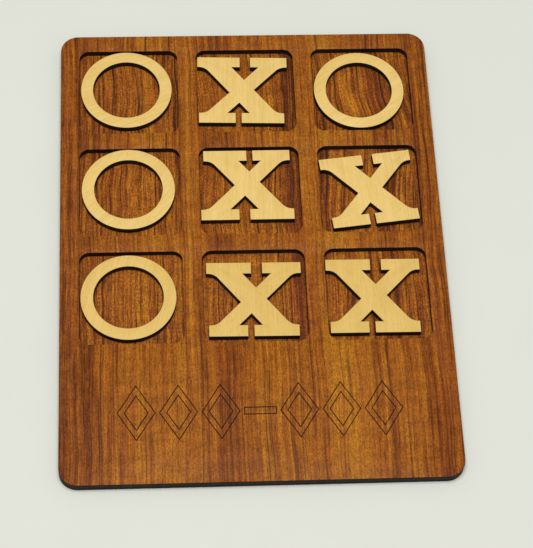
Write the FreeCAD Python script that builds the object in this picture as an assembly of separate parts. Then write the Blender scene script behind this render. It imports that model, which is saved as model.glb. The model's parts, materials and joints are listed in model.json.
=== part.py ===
# A tic tac toe set: a two-sheet wooden tray with nine pockets, four rings and five crosses.
# Millimetres, +Z up. The origin is in the middle of the underside, +Y runs from the plain end
# of the tray to the end with the pockets. Every sheet is a core with a veneer on both faces.

import FreeCAD, Part
import math
import os

Vector = FreeCAD.Vector

# ---- the tray, seen from above -------------------------------------------------------------
pockets_per_side = 3
pocket_side = 40.0            # square window in the upper sheet
pocket_corner_radius = 4.0
rib_width = 7.5               # wood left between two pockets
rim_width = 7.5               # wood left along the far edge and the two long edges
plain_end_length = 57.5       # wood left below the last row of pockets
tray_corner_radius = 7.0

# ---- sheets --------------------------------------------------------------------------------
upper_sheet_thickness = 2.8   # nominal 3 mm veneered board
base_sheet_thickness = 1.5    # thin board that closes the pockets from below
token_sheet_thickness = 2.8   # the tokens lie flush with the upper sheet
veneer_thickness = 0.5        # on each face of the upper sheet and of the tokens
base_veneer_thickness = 0.4   # on each face of the base sheet

# ---- how the tokens fit their pockets ------------------------------------------------------
token_play = 3.2              # pocket side less token width
cross_end_play = 7.8          # pocket side less cross height
wall_gap = 0.3                # least space left between a token and a pocket wall

# ---- ring token ----------------------------------------------------------------------------
ring_band = 4.9               # radial width of the ring

# ---- cross token, standing on its wide end -------------------------------------------------
serif_depth = 4.9             # height of the feet at both ends
serif_reach = 3.0             # how far a foot runs out past its stroke
narrow_inset_left = 1.5       # how far the narrow end is set in from the wide one
narrow_inset_right = 0.65
thick_stroke = 11.2           # upper left to lower right, measured along X
thin_stroke = 8.8             # upper right to lower left, measured along X
wide_slot = 4.15              # space between the two feet of the wide end
narrow_slot = 2.3             # space between the two feet of the narrow end
bracket_radius = 5.0          # hollow curve between a foot and its stroke

# ---- engraved ornament on the plain end ----------------------------------------------------
line_width = 0.4
line_depth = 0.15
lozenge_width = 14.6
lozenge_length = 23.0
lozenge_spacing = 15.8
lozenges_per_group = 3
inner_lozenge_inset = 2.2     # from the outer outline to the inner one, square to it
dash_width = 12.4
dash_height = 3.2
ornament_height = 28.6        # middle of the ornament above the plain edge

# ---- worked out from the above -------------------------------------------------------------
pitch = pocket_side + rib_width
tray_width = 2 * rim_width + pocket_side + (pockets_per_side - 1) * pitch
tray_length = rim_width + pocket_side + (pockets_per_side - 1) * pitch + plain_end_length
token_width = pocket_side - token_play
cross_height = pocket_side - cross_end_play
ring_outer_radius = token_width / 2
ring_inner_radius = ring_outer_radius - ring_band
floor_height = base_sheet_thickness
first_column_x = -tray_width / 2 + rim_width + pocket_side / 2
first_row_y = tray_length / 2 - rim_width - pocket_side / 2
# A cross can turn in its pocket until two opposite corners meet the walls.
turning_room = token_play + narrow_inset_left - 2 * wall_gap
widest_turn = math.degrees(turning_room / cross_height)

# ---- the game as it lies -------------------------------------------------------------------
# name, kind, column, row, turn in degrees, share of the free room used up along X and along Y
half_turn = 180.0
tokens = (
    ("o_top_left", "ring", 0, 0, 0.0, 0.14, 0.91),
    ("x_top_centre", "cross", 1, 0, half_turn - 0.20 * widest_turn, 0.10, 0.54),
    ("o_top_right", "ring", 2, 0, 0.0, 0.06, 0.32),
    ("o_middle_left", "ring", 0, 1, 0.0, 0.26, 0.96),
    ("x_middle_centre", "cross", 1, 1, 0.0, 0.0, 0.83),
    ("x_middle_right", "cross", 2, 1, half_turn + 0.90 * widest_turn, 0.10, 0.39),
    ("o_bottom_left", "ring", 0, 2, 0.0, 0.07, 0.57),
    ("x_bottom_centre", "cross", 1, 2, half_turn - 0.07 * widest_turn, 0.43, 0.26),
    ("x_bottom_right", "cross", 2, 2, half_turn - 0.05 * widest_turn, 0.0, 0.34),
)


# ---- outlines ------------------------------------------------------------------------------
def outline(corners):
    """A closed flat wire through (x, y, radius) corners, each one sharp or rounded by an arc."""
    count = len(corners)
    runs = []
    for index in range(count):
        here = Vector(corners[index][0], corners[index][1], 0)
        before = Vector(corners[index - 1][0], corners[index - 1][1], 0)
        after = Vector(corners[(index + 1) % count][0], corners[(index + 1) % count][1], 0)
        runs.append(round_corner(before, here, after, corners[index][2]))
    edges = []
    for index in range(count):
        run = runs[index]
        following = runs[(index + 1) % count]
        if len(run) == 3:
            edges.append(Part.Arc(run[0], run[1], run[2]).toShape())
        edges.append(Part.LineSegment(run[-1], following[0]).toShape())
    return Part.Wire(edges)


def round_corner(before, here, after, radius):
    """The start, middle and end of the arc that rounds a corner, or just a sharp corner."""
    if radius == 0:
        return (here,)
    back = (before - here).normalize()
    on = (after - here).normalize()
    half_angle = back.getAngle(on) / 2
    setback = radius / math.tan(half_angle)
    centre = here + (back + on).normalize() * (radius / math.sin(half_angle))
    middle = centre + (here - centre).normalize() * radius
    return (here + back * setback, middle, here + on * setback)


def rectangle(x_low, y_low, x_high, y_high, radius=0):
    corners = ((x_low, y_low), (x_high, y_low), (x_high, y_high), (x_low, y_high))
    return outline([(x, y, radius) for x, y in corners])


def meeting_point(line_a, line_b):
    """Where two straight lines cross, each given by two (x, y) points."""
    (ax, ay), (bx, by) = line_a
    (cx, cy), (dx, dy) = line_b
    spread = (bx - ax) * (dy - cy) - (by - ay) * (dx - cx)
    along = ((cx - ax) * (dy - cy) - (cy - ay) * (dx - cx)) / spread
    return (ax + along * (bx - ax), ay + along * (by - ay))


def cross_corners():
    """The corners of the cross about its own middle, standing on its wide end."""
    foot = -cross_height / 2
    foot_top = foot + serif_depth
    head = cross_height / 2
    head_underside = head - serif_depth
    left, right = -token_width / 2, token_width / 2
    narrow_left, narrow_right = left + narrow_inset_left, right - narrow_inset_right

    # Each stroke is a slanted bar between the two serif faces, given by its two edges.
    thick_top, thick_bottom = narrow_left + serif_reach, right - serif_reach - thick_stroke
    thin_top, thin_bottom = narrow_right - serif_reach - thin_stroke, left + serif_reach
    thick_left = ((thick_top, head_underside), (thick_bottom, foot_top))
    thick_right = ((thick_top + thick_stroke, head_underside),
                   (thick_bottom + thick_stroke, foot_top))
    thin_left = ((thin_top, head_underside), (thin_bottom, foot_top))
    thin_right = ((thin_top + thin_stroke, head_underside),
                  (thin_bottom + thin_stroke, foot_top))

    # The slot between two feet is centred on the mouth of the notch that it opens into.
    wide_middle = (thin_right[1][0] + thick_left[1][0]) / 2
    narrow_middle = (thick_right[0][0] + thin_left[0][0]) / 2

    points = [
        (left, foot),
        (wide_middle - wide_slot / 2, foot),
        (wide_middle - wide_slot / 2, foot_top),
        thin_right[1],
        meeting_point(thin_right, thick_left),
        thick_left[1],
        (wide_middle + wide_slot / 2, foot_top),
        (wide_middle + wide_slot / 2, foot),
        (right, foot),
        (right, foot_top),
        thick_right[1],
        meeting_point(thick_right, thin_right),
        thin_right[0],
        (narrow_right, head_underside),
        (narrow_right, head),
        (narrow_middle + narrow_slot / 2, head),
        (narrow_middle + narrow_slot / 2, head_underside),
        thin_left[0],
        meeting_point(thin_left, thick_right),
        thick_right[0],
        (narrow_middle - narrow_slot / 2, head_underside),
        (narrow_middle - narrow_slot / 2, head),
        (narrow_left, head),
        (narrow_left, head_underside),
        thick_left[0],
        meeting_point(thick_left, thin_left),
        thin_left[1],
        (left, foot_top),
    ]
    bracketed = (thick_right[1], thin_right[0], thick_left[0], thin_left[1])
    return [(x, y, bracket_radius if (x, y) in bracketed else 0) for x, y in points]


# ---- solids --------------------------------------------------------------------------------
def slab(wire, bottom, thickness):
    """A flat outline given a thickness, from the height called bottom upwards."""
    solid = Part.Face(wire).extrude(Vector(0, 0, thickness))
    solid.translate(Vector(0, 0, bottom))
    return solid


def layers(sheet_thickness, veneer):
    """The name, underside and thickness of the three layers of a veneered sheet."""
    core = sheet_thickness - 2 * veneer
    return (("back_veneer", 0.0, veneer),
            ("core", veneer, core),
            ("face_veneer", veneer + core, veneer))


def tray_outline():
    half_width, half_length = tray_width / 2, tray_length / 2
    return rectangle(-half_width, -half_length, half_width, half_length, tray_corner_radius)


def pocket_centre(column, row):
    return (first_column_x + column * pitch, first_row_y - row * pitch)


def pocket_windows(bottom, thickness):
    """The nine window cutters for one layer of the upper sheet."""
    windows = []
    for row in range(pockets_per_side):
        for column in range(pockets_per_side):
            x, y = pocket_centre(column, row)
            half = pocket_side / 2
            wire = rectangle(x - half, y - half, x + half, y + half, pocket_corner_radius)
            windows.append(slab(wire, bottom, thickness))
    return windows


def lozenge(x, y, width, length):
    return outline([(x - width / 2, y, 0), (x, y - length / 2, 0),
                    (x + width / 2, y, 0), (x, y + length / 2, 0)])


def lozenge_line(x, y, inset, bottom):
    """One engraved lozenge outline, whose outer edge lies inset inside the full lozenge."""
    side = math.hypot(lozenge_width, lozenge_length)
    cutters = []
    for depth_in in (inset, inset + line_width):
        width = lozenge_width - 2 * depth_in * side / lozenge_length
        length = lozenge_length - 2 * depth_in * side / lozenge_width
        cutters.append(slab(lozenge(x, y, width, length), bottom, line_depth))
    return cutters[0].cut(cutters[1])


def dash_line(y, bottom):
    half_width, half_height = dash_width / 2, dash_height / 2
    outer = rectangle(-half_width, y - half_height, half_width, y + half_height)
    inner = rectangle(-half_width + line_width, y - half_height + line_width,
                      half_width - line_width, y + half_height - line_width)
    return slab(outer, bottom, line_depth).cut(slab(inner, bottom, line_depth))


def engraved_lines(face_height):
    """A lozenge band in two groups with an outlined dash between them, as shallow cutters."""
    y = -tray_length / 2 + ornament_height
    bottom = face_height - line_depth
    lines = [dash_line(y, bottom)]
    nearest = dash_width / 2 + (lozenge_spacing - lozenge_width) + lozenge_width / 2
    for side in (-1, 1):
        for index in range(lozenges_per_group):
            x = side * (nearest + index * lozenge_spacing)
            lines.append(lozenge_line(x, y, 0.0, bottom))
            lines.append(lozenge_line(x, y, inner_lozenge_inset, bottom))
    return lines


def base_sheet():
    """The three layers of the plain lower sheet, whose upper veneer is the pocket floor."""
    return {"base_" + name: slab(tray_outline(), bottom, thickness)
            for name, bottom, thickness in layers(base_sheet_thickness, base_veneer_thickness)}


def upper_sheet():
    """The three layers of the windowed sheet glued on the base, engraved on its upper face."""
    pieces = {}
    for name, bottom, thickness in layers(upper_sheet_thickness, veneer_thickness):
        height = floor_height + bottom
        sheet = slab(tray_outline(), height, thickness)
        pieces["frame_" + name] = sheet.cut(pocket_windows(height, thickness))
    face_height = floor_height + upper_sheet_thickness
    pieces["frame_face_veneer"] = pieces["frame_face_veneer"].cut(engraved_lines(face_height))
    return pieces


def ring_layer(bottom, thickness):
    outer = Part.makeCylinder(ring_outer_radius, thickness, Vector(0, 0, bottom))
    return outer.cut(Part.makeCylinder(ring_inner_radius, thickness, Vector(0, 0, bottom)))


def cross_layer(bottom, thickness):
    return slab(outline(cross_corners()), bottom, thickness)


def reach(kind, turn):
    """How far a token turned by so many degrees reaches to its left, right, near and far."""
    if kind == "ring":
        return (-ring_outer_radius, ring_outer_radius, -ring_outer_radius, ring_outer_radius)
    angle = math.radians(turn)
    turned = [(x * math.cos(angle) - y * math.sin(angle), x * math.sin(angle) + y * math.cos(angle))
              for x, y, radius in cross_corners()]
    return (min(x for x, y in turned), max(x for x, y in turned),
            min(y for x, y in turned), max(y for x, y in turned))


def token_place(kind, column, row, turn, share_x, share_y):
    """Where a token's middle lies, so that its pocket's walls stay at least wall_gap away."""
    x, y = pocket_centre(column, row)
    left, right, near, far = reach(kind, turn)
    half_room = pocket_side / 2 - wall_gap
    room_x = 2 * half_room - (right - left)
    room_y = 2 * half_room - (far - near)
    return (x - half_room - left + share_x * room_x, y - half_room - near + share_y * room_y)


def token_pieces():
    """The three layers of each of the nine tokens, lying on the pocket floor."""
    pieces = {}
    for name, kind, column, row, turn, share_x, share_y in tokens:
        x, y = token_place(kind, column, row, turn, share_x, share_y)
        shape_layer = ring_layer if kind == "ring" else cross_layer
        for layer, bottom, thickness in layers(token_sheet_thickness, veneer_thickness):
            piece = shape_layer(floor_height + bottom, thickness)
            piece.rotate(Vector(0, 0, 0), Vector(0, 0, 1), turn)
            piece.translate(Vector(x, y, 0))
            pieces[name + "_" + layer] = piece
    return pieces


def main():
    os.makedirs("parts", exist_ok=True)
    pieces = {**base_sheet(), **upper_sheet(), **token_pieces()}
    for name, shape in pieces.items():
        shape.exportStep("parts/" + name + ".step")
    print(len(pieces), "nodes;", "tray", tray_width, "x", tray_length, "mm")


main()
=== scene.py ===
import bmesh
import bpy
import json
import math
from collections import namedtuple
from bpy.props import FloatProperty, FloatVectorProperty, IntProperty, PointerProperty
from mathutils import Matrix, Vector

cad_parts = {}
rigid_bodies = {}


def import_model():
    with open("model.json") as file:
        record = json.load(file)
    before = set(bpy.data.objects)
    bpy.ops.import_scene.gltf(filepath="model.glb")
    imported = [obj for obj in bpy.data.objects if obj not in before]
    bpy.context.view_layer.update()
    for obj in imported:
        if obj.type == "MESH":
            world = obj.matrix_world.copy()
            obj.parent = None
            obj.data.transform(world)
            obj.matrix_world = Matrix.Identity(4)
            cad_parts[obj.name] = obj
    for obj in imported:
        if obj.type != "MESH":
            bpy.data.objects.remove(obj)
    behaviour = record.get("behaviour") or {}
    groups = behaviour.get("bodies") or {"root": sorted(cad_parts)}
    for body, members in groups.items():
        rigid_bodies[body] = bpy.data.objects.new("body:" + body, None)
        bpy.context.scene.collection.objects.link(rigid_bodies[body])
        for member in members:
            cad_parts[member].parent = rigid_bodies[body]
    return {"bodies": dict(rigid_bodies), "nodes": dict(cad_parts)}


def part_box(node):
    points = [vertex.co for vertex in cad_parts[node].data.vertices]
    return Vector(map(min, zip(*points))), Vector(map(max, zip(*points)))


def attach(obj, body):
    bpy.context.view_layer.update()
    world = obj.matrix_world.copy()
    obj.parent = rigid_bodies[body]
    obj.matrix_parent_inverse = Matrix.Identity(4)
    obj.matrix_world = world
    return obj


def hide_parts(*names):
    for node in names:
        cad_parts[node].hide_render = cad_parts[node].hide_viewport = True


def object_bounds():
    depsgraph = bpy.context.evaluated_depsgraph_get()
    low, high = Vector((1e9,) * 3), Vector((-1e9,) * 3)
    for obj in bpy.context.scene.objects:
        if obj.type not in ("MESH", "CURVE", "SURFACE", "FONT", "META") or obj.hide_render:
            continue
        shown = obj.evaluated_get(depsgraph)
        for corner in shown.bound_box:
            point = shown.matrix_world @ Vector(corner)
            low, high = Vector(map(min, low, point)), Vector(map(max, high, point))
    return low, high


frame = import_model()
CAD_LOW, CAD_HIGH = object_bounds()

bl_info = {
    "name": "Tic Tac Toe Set",
    "version": (1, 0, 0),
    "blender": (4, 5, 0),
    "location": "3D View > Sidebar > Tic Tac Toe",
    "description": "A veneered wooden tic tac toe tray with ring and cross tokens",
    "category": "Object",
}

MM = 0.001
TOKENS = sorted(body for body in frame["bodies"] if body != "tray")
RINGS = [token for token in TOKENS if token.startswith("o_")]
CROSSES = [token for token in TOKENS if token.startswith("x_")]
# How far each token's grain is turned from the tray's, in degrees counter-clockwise.
GRAIN_TURN = {"o_top_left": -67.0, "o_top_right": -54.0, "o_middle_left": -43.0,
              "o_bottom_left": -16.0, "x_top_centre": -1.4, "x_middle_centre": -2.0,
              "x_middle_right": 6.4, "x_bottom_centre": 1.0}
USUAL_PALENESS = 0.5
# How pale the wood of a token is, from 0 to 1, where it isn't the usual.
PALENESS = {"o_bottom_left": 0.3, "x_bottom_centre": 0.22, "x_bottom_right": 0.2,
            "o_top_left": 0.45}
# Light and dark zones across the veneers: millimetres from the left edge, and a tone from 0,
# the darkest heartwood, to 1, the golden sapwood.
FACE_ZONES = ((0, 0.24), (8, 0.22), (11, 0.15), (14, 0.38), (20, 0.5), (28, 0.48), (34, 0.72),
              (40, 0.62), (47, 0.55), (50, 0.64), (57, 0.46), (62, 0.22), (66, 0.2), (71, 0.48),
              (80, 0.52), (88, 0.56), (94, 0.6), (98, 0.46), (104, 0.84), (112, 0.82),
              (117, 0.6), (122, 0.46), (128, 0.32), (136, 0.48), (140, 0.3), (143, 0.2),
              (150, 0.36))
FLOOR_ZONES = ((0, 0.4), (18, 0.36), (24, 0.44), (30, 0.56), (37, 0.48), (44, 0.4), (56, 0.42),
               (66, 0.5), (80, 0.55), (87, 0.44), (89.5, 0.3), (91, 0.06), (95, 0.0), (98, 0.3),
               (104, 0.28), (111, 0.5), (113, 0.14), (115, 0.6), (119, 0.76), (120.5, 0.16),
               (122, 0.66), (124.5, 0.5), (126.5, 0.06), (131, 0.02), (133, 0.5), (139, 0.36),
               (143, 0.16), (150, 0.4))

# Streaks along the grain: their width and length in millimetres, and how broken up they are.
Streak = namedtuple("Streak", "across along detail roughness")
BROAD_STREAK = Streak(2.6, 150.0, 3.0, 0.6)
MIDDLING_STREAK = Streak(1.2, 80.0, 4.0, 0.7)
FINE_STREAK = Streak(0.5, 9.0, 3.0, 0.7)
GROWTH_LINE = Streak(1.2, 130.0, 3.0, 0.6)
OPEN_PORE = Streak(0.34, 2.4, 2.0, 0.6)
TOKEN_BROAD_STREAK = Streak(5.0, 120.0, 2.0, 0.5)
TOKEN_FINE_STREAK = Streak(0.5, 12.0, 3.0, 0.6)
TOKEN_FLECK = Streak(0.3, 1.6, 2.0, 0.6)
# Where the grain of a leaning veneer starts to lean and leans fully, and the height at which it
# crosses its straight line, in millimetres from the middle of the tray.
LEAN_ACROSS = (22.0, 45.0)
LEAN_ALONG = (20.0, 60.0)
LEAN_PIVOT = 72.0
# A veneer's pattern hardly changes through its depth.
DEPTH_SCALE = 0.02


def tint(red, green, blue):
    """A paint chart colour, 0 to 255 a channel, as the linear values that shaders use."""
    steps = [channel / 255 for channel in (red, green, blue)]
    return tuple(s / 12.92 if s <= 0.04045 else ((s + 0.055) / 1.055) ** 2.4 for s in steps)


# ---- what a user may change ----------------------------------------------------------------
def colour_property(name, description, default):
    return FloatVectorProperty(name=name, description=description, default=default,
                               subtype="COLOR", min=0.0, max=1.0, size=3)


class TICTACTOE_PG_tray(bpy.types.PropertyGroup):
    heartwood: colour_property("Heartwood", "Darkest zones of the tray's veneer",
                               tint(92, 42, 13))
    middle: colour_property("Middle Wood", "Zones between the dark and the golden ones",
                            tint(152, 83, 21))
    sapwood: colour_property("Sapwood", "Golden zones of the tray's veneer",
                             tint(180, 117, 26))
    reddening: colour_property("Reddening", "Red cast that some zones of the veneer have",
                               tint(136, 62, 20))
    pore: colour_property("Pore", "Open pores and thin dark growth lines", tint(58, 26, 9))
    engraving: colour_property("Engraving", "Burnt lines of the engraved ornament",
                               tint(13, 8, 5))
    floor_shade: FloatProperty(name="Floor Shade", default=1.06, min=0.5, max=1.2,
                               description="Brightness of the pocket floors beside the face")
    gloss: FloatProperty(name="Roughness", default=0.5, min=0.0, max=1.0, subtype="FACTOR",
                         description="Roughness of the oiled veneer")


class TICTACTOE_PG_tokens(bpy.types.PropertyGroup):
    pale: colour_property("Pale Wood", "Light part of the tokens' veneer", tint(243, 209, 132))
    honey: colour_property("Honey Wood", "Deeper part of the tokens' veneer",
                           tint(218, 180, 94))
    fleck: colour_property("Fleck", "Tiny flecks in the tokens' veneer", tint(176, 132, 66))
    gloss: FloatProperty(name="Roughness", default=0.5, min=0.0, max=1.0, subtype="FACTOR",
                         description="Roughness of the tokens' veneer")


class TICTACTOE_PG_edges(bpy.types.PropertyGroup):
    ease: FloatProperty(name="Tray Edge", default=0.23 * MM, min=0.0, max=0.24 * MM,
                        unit="LENGTH", precision=5,
                        description="Width of the softened, singed rims of the tray")
    token_ease: FloatProperty(name="Token Edge", default=0.1 * MM, min=0.0, max=0.2 * MM,
                              unit="LENGTH", precision=5,
                              description="Width of the softened, singed rims of the tokens")
    steps: IntProperty(name="Edge Steps", default=2, min=1, max=4,
                       description="Facets across the softened edge")
    scorch: colour_property("Scorch", "Charred wood on every cut edge", tint(20, 12, 8))
    ash: colour_property("Ash", "Paler dust on the charred edges", tint(40, 33, 28))


class TICTACTOE_PG_stage(bpy.types.PropertyGroup):
    table: colour_property("Table", "Pale ground under the set", tint(223, 224, 214))
    daylight: FloatProperty(name="Daylight", default=0.34, min=0.0, max=5.0,
                            description="Strength of the even light from all round")
    lamp_power: FloatProperty(name="Lamp Power", default=12.9, min=0.0, unit="POWER",
                              description="Power of the broad soft lamp overhead")
    camera_place: FloatVectorProperty(name="Camera Place", subtype="TRANSLATION",
                                      unit="LENGTH", default=(-0.0397, -0.387, 0.6785),
                                      description="Where the camera stands")
    camera_aim: FloatVectorProperty(name="Camera Aim", subtype="TRANSLATION", unit="LENGTH",
                                    default=(0.0048, -0.0133, 0.0043),
                                    description="The point that the camera looks at")
    camera_roll: FloatProperty(name="Camera Roll", subtype="ANGLE",
                               default=math.radians(4.88),
                               description="Turn of the camera about its line of sight")
    focal_length: FloatProperty(name="Focal Length", default=131.0, min=10.0,
                                description="Camera focal length in millimetres")


class TICTACTOE_PG_settings(bpy.types.PropertyGroup):
    tray: PointerProperty(type=TICTACTOE_PG_tray)
    tokens: PointerProperty(type=TICTACTOE_PG_tokens)
    edges: PointerProperty(type=TICTACTOE_PG_edges)
    stage: PointerProperty(type=TICTACTOE_PG_stage)


# ---- finishes ------------------------------------------------------------------------------
class Finish:
    """A material that is put together node by node."""

    def __init__(self, name, specular=0.5):
        self.material = bpy.data.materials.new(name)
        self.material.use_nodes = True
        self.tree = self.material.node_tree
        self.shader = self.tree.nodes["Principled BSDF"]
        self.shader.inputs["Specular IOR Level"].default_value = specular
        place = self.tree.nodes.new("ShaderNodeTexCoord").outputs["Object"]
        self.place = self.mapped(place, scale=(1 / MM, 1 / MM, 1 / MM))

    def put(self, socket, value):
        """Sets a socket's value, or links another socket to it."""
        if isinstance(value, bpy.types.NodeSocket):
            self.tree.links.new(value, socket)
        elif socket.type == "RGBA" and len(value) == 3:
            socket.default_value = (*value, 1.0)
        else:
            socket.default_value = value

    def mapped(self, vector, scale=(1, 1, 1), location=(0, 0, 0), turn=0.0):
        node = self.tree.nodes.new("ShaderNodeMapping")
        self.put(node.inputs["Vector"], vector)
        node.inputs["Location"].default_value = location
        node.inputs["Rotation"].default_value = (0.0, 0.0, turn)
        node.inputs["Scale"].default_value = scale
        return node.outputs[0]

    def noise(self, vector, detail=2.0, roughness=0.5):
        node = self.tree.nodes.new("ShaderNodeTexNoise")
        self.put(node.inputs["Vector"], vector)
        node.inputs["Scale"].default_value = 1.0
        node.inputs["Detail"].default_value = detail
        node.inputs["Roughness"].default_value = roughness
        return node.outputs[0]

    def sum(self, operation, first, second=0.0, third=0.0):
        """One step of arithmetic."""
        node = self.tree.nodes.new("ShaderNodeMath")
        node.operation = operation
        for socket, value in zip(node.inputs, (first, second, third)):
            self.put(socket, value)
        return node.outputs[0]

    def between(self, value, low, high, to_low=0.0, to_high=1.0):
        """Value moved from one range to another with soft ends, never beyond them."""
        node = self.tree.nodes.new("ShaderNodeMapRange")
        node.interpolation_type = "SMOOTHSTEP"
        self.put(node.inputs["Value"], value)
        for name, bound in (("From Min", low), ("From Max", high),
                            ("To Min", to_low), ("To Max", to_high)):
            self.put(node.inputs[name], bound)
        return node.outputs[0]

    def mix(self, share, first, second, blend="MIX"):
        node = self.tree.nodes.new("ShaderNodeMix")
        node.data_type = "RGBA"
        node.blend_type = blend
        self.put(node.inputs[0], share)
        self.put(node.inputs[6], first)
        self.put(node.inputs[7], second)
        return node.outputs[2]

    def zones(self, across, stops, width):
        """A tone that changes across the grain, from stops of place and tone."""
        node = self.tree.nodes.new("ShaderNodeValToRGB")
        ramp = node.color_ramp
        ramp.interpolation = "EASE"
        self.put(node.inputs[0], self.sum("DIVIDE", across, width))
        while len(ramp.elements) < len(stops):
            ramp.elements.new(1.0)
        for element, (place, tone) in zip(ramp.elements, stops):
            element.position = place / width
            element.color = (tone, tone, tone, 1.0)
        return node.outputs[0]

    def split(self, vector):
        node = self.tree.nodes.new("ShaderNodeSeparateXYZ")
        self.put(node.inputs[0], vector)
        return node.outputs

    def join(self, x, y, z):
        node = self.tree.nodes.new("ShaderNodeCombineXYZ")
        for socket, value in zip(node.inputs, (x, y, z)):
            self.put(socket, value)
        return node.outputs[0]

    def upright(self):
        """How squarely the surface faces up or down, from 0 on a wall to 1 on a face."""
        geometry = self.tree.nodes.new("ShaderNodeNewGeometry")
        return self.sum("ABSOLUTE", self.split(geometry.outputs["True Normal"])[2])

    def relief(self, height, strength, depth):
        node = self.tree.nodes.new("ShaderNodeBump")
        node.inputs["Strength"].default_value = strength
        node.inputs["Distance"].default_value = depth
        self.put(node.inputs["Height"], height)
        self.put(self.shader.inputs["Normal"], node.outputs[0])

    def streaks(self, vector, streak, shift):
        """Noise drawn out along the grain."""
        scale = (1 / streak.across, 1 / streak.along, 1 / streak.along)
        place = self.mapped(vector, scale, (shift, shift, shift))
        return self.noise(place, streak.detail, streak.roughness)

    def patches(self, vector, across, along, offset, detail=2.0):
        """Soft patches of about this size in millimetres, the same all through the depth."""
        scale = (1 / across, 1 / along, DEPTH_SCALE)
        return self.noise(self.mapped(vector, scale, offset), detail)

    def specks(self, per_mm, detail=3.0, roughness=0.6):
        """Specks, by how many there are to a millimetre along x, y and z."""
        return self.noise(self.mapped(self.place, per_mm), detail, roughness)

    def added(self, tone, pattern, weight):
        """A tone made lighter and darker by a pattern, which leaves its mean as it is."""
        return self.sum("MULTIPLY_ADD", self.sum("SUBTRACT", pattern, 0.5), weight, tone)

    def shaded(self, colour, glow):
        """A colour made lighter or darker."""
        return self.mix(1.0, colour, self.join(glow, glow, glow), "MULTIPLY")


def swung(finish, sway, reach, shift, lean):
    """The place on the sheet with the grain lines swung sideways, as they grew, and leaning
    at the far right corner. Returns the distance across the grain and the whole place."""
    x, y, z = finish.split(finish.place)
    leaning = finish.sum("MULTIPLY", finish.between(y, *LEAN_ALONG),
                         finish.sum("MULTIPLY_ADD", y, lean, -LEAN_PIVOT * lean))
    slant = finish.sum("MULTIPLY", finish.between(x, *LEAN_ACROSS), leaning)
    slow_bend = finish.patches(finish.place, 45, reach, (shift, shift, 0), 1.0)
    quick_bend = finish.patches(finish.place, 7, 9, (shift, 0, shift))
    quick_share = 0.12
    across = finish.added(finish.sum("ADD", x, slant), slow_bend, sway)
    across = finish.added(across, quick_bend, sway * quick_share)
    return across, finish.join(across, y, z)


def scorched(finish, settings, wood):
    """Chars whatever isn't a flat face, as the cutting beam does. Returns the colour and how
    flat the surface is."""
    soot = finish.specks((0.9, 0.9, 2.5))
    char = finish.mix(finish.between(soot, 0.45, 0.75), settings.edges.scorch,
                      settings.edges.ash)
    flat = finish.between(finish.upright(), 0.84, 0.99)
    return finish.mix(flat, char, wood), flat


def dressed(finish, colour, flat, rough):
    """Gives the wood its colour, and its roughness where it isn't charred."""
    charred_roughness = 0.8
    finish.put(finish.shader.inputs["Base Color"], colour)
    finish.put(finish.shader.inputs["Roughness"],
               finish.between(flat, 0, 1, charred_roughness, rough))


def engraved(finish, settings, wood, top):
    """Burns whatever lies below the veneer's face, more in some places than in others."""
    burnt_depth, clean_depth = 0.1, 0.02
    weakest_burn = 0.9
    height = finish.split(finish.place)[2]
    below = finish.between(height, top - burnt_depth, top - clean_depth, 1.0, 0.0)
    burn = finish.between(finish.specks((0.45, 0.45, 0.45)), 0.35, 0.65, weakest_burn, 1.0)
    return finish.mix(finish.sum("MULTIPLY", below, burn), wood, settings.tray.engraving)


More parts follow.
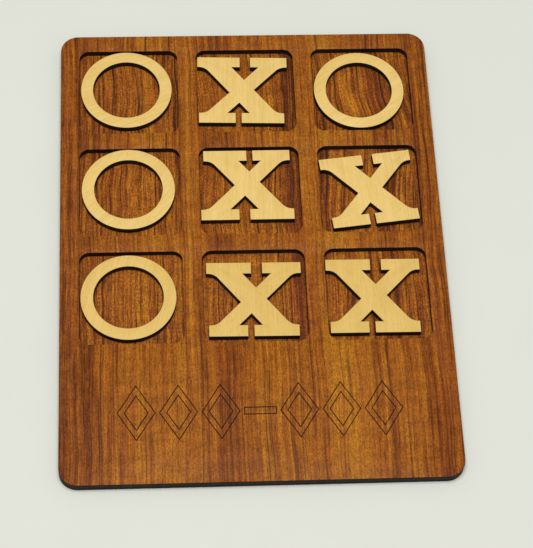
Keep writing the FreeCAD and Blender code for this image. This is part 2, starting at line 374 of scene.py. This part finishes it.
def tray_veneer(settings, name, stops, shift, shade=1.0, sway=3.0, reach=38.0, bold=1.0,
                contrast=1.0, lean=0.0, veneer_top=None):
    """Oiled red-brown veneer with straight grain, dark growth lines and open pores. Bold is how
    strong its streaks are, contrast how far its zones differ, and veneer_top the height of its
    face where it is engraved."""
    finish = Finish(name, specular=0.1)
    wood = settings.tray
    across, grain = swung(finish, sway, reach, shift, lean)
    width = (CAD_HIGH.x - CAD_LOW.x) / MM
    zone = finish.zones(finish.sum("ADD", across, width / 2), stops, width)
    zone = finish.added(0.5, zone, contrast)

    broad = finish.streaks(grain, BROAD_STREAK, shift)
    middling = finish.streaks(grain, MIDDLING_STREAK, shift + 7)
    fine = finish.streaks(grain, FINE_STREAK, shift + 13)
    tone = zone
    for streak, weight in ((broad, 1.6), (middling, 2.2 * bold), (fine, 1.5 * bold)):
        tone = finish.added(tone, streak, weight)
    colour = finish.mix(finish.between(tone, -0.35, 0.6), wood.heartwood, wood.middle)
    colour = finish.mix(finish.between(tone, 0.3, 1.3), colour, wood.sapwood)

    deepest_blush = 0.3
    blush = finish.patches(grain, 12, 90, (shift, 3, 0))
    colour = finish.mix(finish.between(blush, 0.45, 0.7, 0.0, deepest_blush), colour,
                        wood.reddening)

    darkest_mark = 0.6
    lines = finish.streaks(grain, GROWTH_LINE, shift + 19)
    line_share = finish.between(lines, 0.56, 0.66, 0.0, darkest_mark * bold)
    pores = finish.streaks(grain, OPEN_PORE, shift + 31)
    pore_share = finish.between(pores, 0.56, 0.7, 0.0, darkest_mark)
    colour = finish.mix(line_share, colour, wood.pore)
    colour = finish.mix(pore_share, colour, wood.pore)

    dim, bright = 0.88, 1.14
    grit_depth = 0.29 * bold
    flame = finish.patches(grain, 6, 4, (0, shift, 3))
    grit = finish.patches(grain, 0.6, 0.9, (shift, 0, 9))
    glow = finish.sum("MULTIPLY", finish.between(flame, 0.3, 0.7, shade * dim, shade * bright),
                      finish.between(grit, 0.25, 0.75, 1 - grit_depth, 1 + grit_depth))
    colour = finish.shaded(colour, glow)

    if veneer_top is not None:
        colour = engraved(finish, settings, colour, veneer_top)
    colour, flat = scorched(finish, settings, colour)
    rough = finish.between(fine, 0.3, 0.7, wood.gloss - 0.05, wood.gloss + 0.08)
    dressed(finish, colour, flat, rough)
    hollow = finish.sum("MULTIPLY_ADD", pore_share, -1.0, finish.sum("MULTIPLY", fine, 0.5))
    finish.relief(hollow, 0.35, 0.05 * MM)
    return finish.material


def token_veneer(settings, name, centre, turn, paleness):
    """Pale close-grained veneer with faint streaks and tiny flecks. Its grain is turned about
    the middle of the token."""
    finish = Finish(name, specular=0.2)
    wood = settings.tokens
    about = Matrix.Rotation(-turn, 3, "Z") @ centre
    grain = finish.mapped(finish.place, location=(-about.x, -about.y, 0), turn=-turn)
    # Another part of the pattern for each token.
    shift = centre.x * 0.37 + centre.y * 0.53
    broad = finish.streaks(grain, TOKEN_BROAD_STREAK, shift)
    fine = finish.streaks(grain, TOKEN_FINE_STREAK, shift + 11)
    flecks = finish.streaks(grain, TOKEN_FLECK, shift + 23)
    tone = finish.added(paleness, broad, 0.7)
    tone = finish.added(tone, fine, 1.05)
    colour = finish.mix(finish.between(tone, -0.1, 1.1), wood.honey, wood.pale)
    speck = finish.between(flecks, 0.57, 0.75, 0.0, 0.5)
    colour = finish.mix(speck, colour, wood.fleck)
    colour, flat = scorched(finish, settings, colour)
    rough = finish.between(fine, 0.3, 0.7, wood.gloss - 0.04, wood.gloss + 0.08)
    dressed(finish, colour, flat, rough)
    finish.relief(finish.sum("SUBTRACT", fine, speck), 0.25, 0.03 * MM)
    return finish.material


def scorched_core(settings, name):
    """The fibreboard middle of a sheet, charred by the cut, with upright burn marks."""
    finish = Finish(name, specular=0.35)
    marks = finish.specks((1.6, 1.6, 0.15), roughness=0.65)
    dust = finish.specks((0.35, 0.35, 1.2))
    share = finish.sum("MULTIPLY", finish.between(marks, 0.4, 0.7),
                       finish.between(dust, 0.4, 0.7))
    colour = finish.mix(share, settings.edges.scorch, settings.edges.ash)
    finish.put(finish.shader.inputs["Base Color"], colour)
    finish.put(finish.shader.inputs["Roughness"], finish.between(marks, 0.3, 0.7, 0.7, 0.9))
    finish.relief(marks, 0.5, 0.06 * MM)
    return finish.material


def table_paper(settings):
    """A pale matte ground with hardly any mottle."""
    finish = Finish("table_paper", specular=0.2)
    mottle = finish.specks((0.03, 0.03, 0.03))
    tooth = finish.specks((0.5, 0.5, 0.5))
    glow = finish.between(mottle, 0.3, 0.7, 0.992, 1.004)
    finish.put(finish.shader.inputs["Base Color"], finish.shaded(settings.stage.table, glow))
    finish.put(finish.shader.inputs["Roughness"], finish.between(tooth, 0.3, 0.7, 0.8, 0.95))
    finish.relief(tooth, 0.1, 0.2 * MM)
    return finish.material


# ---- pieces --------------------------------------------------------------------------------
def coat(node, material):
    """Gives a CAD node, whose shape stays, its finish."""
    for slot in frame["nodes"][node].material_slots:
        slot.material = material


def eased_layer(name, node, body, material, ease, steps, up=1):
    """A veneer layer with its outer rims softened: the upper ones if up is 1, else the lower.
    The rims of engraved lines, which don't reach through the layer, stay sharp."""
    low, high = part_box(node)
    rim_height = high.z if up == 1 else low.z
    near = 0.01 * MM
    flat_angle, rim_angle, sharp_angle = math.radians(0.05), math.radians(60), math.radians(38)
    level = 0.999
    work = bmesh.new()
    work.from_mesh(frame["nodes"][node].data)
    bmesh.ops.remove_doubles(work, verts=work.verts, dist=near / 10)
    bmesh.ops.dissolve_limit(work, angle_limit=flat_angle, verts=work.verts, edges=work.edges,
                             delimit={"NORMAL"})

    def from_rim(vert):
        return abs(vert.co.z - rim_height)

    def is_rim(edge):
        if len(edge.link_faces) != 2 or any(from_rim(vert) >= near for vert in edge.verts):
            return False
        reach = max(from_rim(vert) for face in edge.link_faces for vert in face.verts)
        return edge.calc_face_angle() > rim_angle and reach > (high.z - low.z) / 2

    rims = [edge for edge in work.edges if is_rim(edge)]
    bmesh.ops.bevel(work, geom=rims, offset=ease, offset_type="OFFSET",
                    segments=steps, profile=0.5, affect="EDGES", material=-1,
                    clamp_overlap=True)
    mesh = bpy.data.meshes.new(name)
    work.to_mesh(mesh)
    work.free()
    # The CAD mesh brings normals of its own, which don't fit the softened rims.
    if "custom_normal" in mesh.attributes:
        mesh.attributes.remove(mesh.attributes["custom_normal"])
    mesh.materials.clear()
    mesh.materials.append(material)
    for polygon in mesh.polygons:
        polygon.use_smooth = abs(polygon.normal.z) < level
    mesh.set_sharp_from_angle(angle=sharp_angle)
    piece = bpy.data.objects.new(name, mesh)
    bpy.context.scene.collection.objects.link(piece)
    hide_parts(node)
    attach(piece, body)
    return piece


def make_tokens(settings, tokens):
    """The two veneers of each token, softened at the rim, around its charred core."""
    core = scorched_core(settings, tokens[0][0] + "_token_core")
    for token in tokens:
        low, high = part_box(token + "_core")
        centre = (low + high) / 2 / MM
        turn = math.radians(GRAIN_TURN.get(token, 0.0))
        veneer = token_veneer(settings, token + "_veneer", centre, turn,
                              PALENESS.get(token, USUAL_PALENESS))
        for side, up in (("face", 1), ("back", -1)):
            piece = eased_layer(token + "_" + side, token + "_" + side + "_veneer", token,
                                veneer, settings.edges.token_ease, settings.edges.steps, up)
        coat(token + "_core", core)


# ---- operators -----------------------------------------------------------------------------
class TICTACTOE_OT_upper_sheet(bpy.types.Operator):
    """Finish the windowed sheet: its face veneer with the engraving, its core and its back"""
    bl_idname = "tictactoe.upper_sheet"
    bl_label = "Upper Sheet"

    def execute(self, context):
        settings = context.scene.tictactoe
        top = CAD_HIGH.z / MM
        face = tray_veneer(settings, "tray_face_veneer", FACE_ZONES, 0.0, veneer_top=top)
        piece = eased_layer("tray_face", "frame_face_veneer", "tray", face,
                            settings.edges.ease, settings.edges.steps)
        core = scorched_core(settings, "tray_core")
        coat("frame_core", core)
        coat("frame_back_veneer", core)
        return {"FINISHED"}


class TICTACTOE_OT_base_sheet(bpy.types.Operator):
    """Finish the lower sheet: the pocket floors, its core and the underside"""
    bl_idname = "tictactoe.base_sheet"
    bl_label = "Base Sheet"

    def execute(self, context):
        settings = context.scene.tictactoe
        floor = tray_veneer(settings, "pocket_floor_veneer", FLOOR_ZONES, 57.0,
                            settings.tray.floor_shade, sway=4.0, reach=26.0, bold=1.5,
                            contrast=1.3, lean=0.13)
        coat("base_face_veneer", floor)
        coat("base_core", scorched_core(settings, "base_core"))
        piece = eased_layer("tray_underside", "base_back_veneer", "tray", floor,
                            settings.edges.ease, settings.edges.steps, -1)
        return {"FINISHED"}


class TICTACTOE_OT_rings(bpy.types.Operator):
    """Make the ring tokens"""
    bl_idname = "tictactoe.rings"
    bl_label = "Rings"

    def execute(self, context):
        make_tokens(context.scene.tictactoe, RINGS)
        return {"FINISHED"}


class TICTACTOE_OT_crosses(bpy.types.Operator):
    """Make the cross tokens"""
    bl_idname = "tictactoe.crosses"
    bl_label = "Crosses"

    def execute(self, context):
        make_tokens(context.scene.tictactoe, CROSSES)
        return {"FINISHED"}


class TICTACTOE_OT_stage(bpy.types.Operator):
    """Lay the pale ground and set the lights and the camera"""
    bl_idname = "tictactoe.stage"
    bl_label = "Stage"

    def execute(self, context):
        settings = context.scene.tictactoe
        lay_table(settings)
        light_stage(context.scene, settings.stage)
        set_camera(context.scene, settings.stage)
        return {"FINISHED"}


def lay_table(settings):
    """A square of pale ground, just clear of the tray's underside."""
    reach = 4.0
    gap = 0.02 * MM
    work = bmesh.new()
    bmesh.ops.create_grid(work, x_segments=8, y_segments=8, size=reach)
    mesh = bpy.data.meshes.new("table")
    work.to_mesh(mesh)
    work.free()
    mesh.transform(Matrix.Translation((0, 0, CAD_LOW.z - gap)))
    mesh.materials.append(table_paper(settings))
    table = bpy.data.objects.new("table", mesh)
    bpy.context.scene.collection.objects.link(table)


def light_stage(scene, stage):
    """Even white light from all round, and one broad lamp high over the set."""
    lamp_place, lamp_width = Vector((-0.06, -0.1, 1.3)), 0.8
    world = bpy.data.worlds.new("daylight")
    world.use_nodes = True
    sky = world.node_tree.nodes["Background"]
    sky.inputs["Color"].default_value = (1.0, 1.0, 1.0, 1.0)
    sky.inputs["Strength"].default_value = stage.daylight
    scene.world = world
    lamp = bpy.data.lights.new("soft_lamp", "AREA")
    lamp.shape = "DISK"
    lamp.size = lamp_width
    lamp.energy = stage.lamp_power
    holder = bpy.data.objects.new("soft_lamp", lamp)
    holder.location = lamp_place
    holder.rotation_euler = (-lamp_place).to_track_quat("-Z", "Y").to_euler()
    scene.collection.objects.link(holder)
    scene.view_settings.view_transform = "Standard"


def set_camera(scene, stage):
    """Aims the camera, then turns it about its line of sight."""
    data = bpy.data.cameras.new("camera")
    data.lens = stage.focal_length
    data.sensor_width = 36.0
    data.clip_start, data.clip_end = 0.01, 20.0
    camera = bpy.data.objects.new("camera", data)
    place, aim = Vector(stage.camera_place), Vector(stage.camera_aim)
    look = (aim - place).to_track_quat("-Z", "Y").to_matrix()
    camera.matrix_world = (Matrix.Translation(place)
                           @ (look @ Matrix.Rotation(stage.camera_roll, 3, "Z")).to_4x4())
    scene.collection.objects.link(camera)
    scene.camera = camera


class TICTACTOE_PT_panel(bpy.types.Panel):
    """What may be changed, and a button for each group of pieces"""
    bl_label = "Tic Tac Toe Set"
    bl_idname = "TICTACTOE_PT_panel"
    bl_space_type = "VIEW_3D"
    bl_region_type = "UI"
    bl_category = "Tic Tac Toe"

    def draw(self, context):
        settings = context.scene.tictactoe
        for group in (settings.tray, settings.tokens, settings.edges, settings.stage):
            box = self.layout.box()
            for name in group.__annotations__:
                box.prop(group, name)
        for operator in MAKING_ORDER:
            self.layout.operator(operator.bl_idname)


MAKING_ORDER = (TICTACTOE_OT_stage, TICTACTOE_OT_upper_sheet, TICTACTOE_OT_base_sheet,
                TICTACTOE_OT_rings, TICTACTOE_OT_crosses)
CLASSES = (TICTACTOE_PG_tray, TICTACTOE_PG_tokens, TICTACTOE_PG_edges, TICTACTOE_PG_stage,
           TICTACTOE_PG_settings, *MAKING_ORDER, TICTACTOE_PT_panel)


def register():
    for cls in CLASSES:
        bpy.utils.register_class(cls)
    bpy.types.Scene.tictactoe = PointerProperty(type=TICTACTOE_PG_settings)


def unregister():
    del bpy.types.Scene.tictactoe
    for cls in reversed(CLASSES):
        bpy.utils.unregister_class(cls)


def main():
    """Makes everything in order."""
    register()
    bpy.ops.tictactoe.stage()
    bpy.ops.tictactoe.upper_sheet()
    bpy.ops.tictactoe.base_sheet()
    bpy.ops.tictactoe.rings()
    bpy.ops.tictactoe.crosses()


if __name__ == "__main__":
    main()
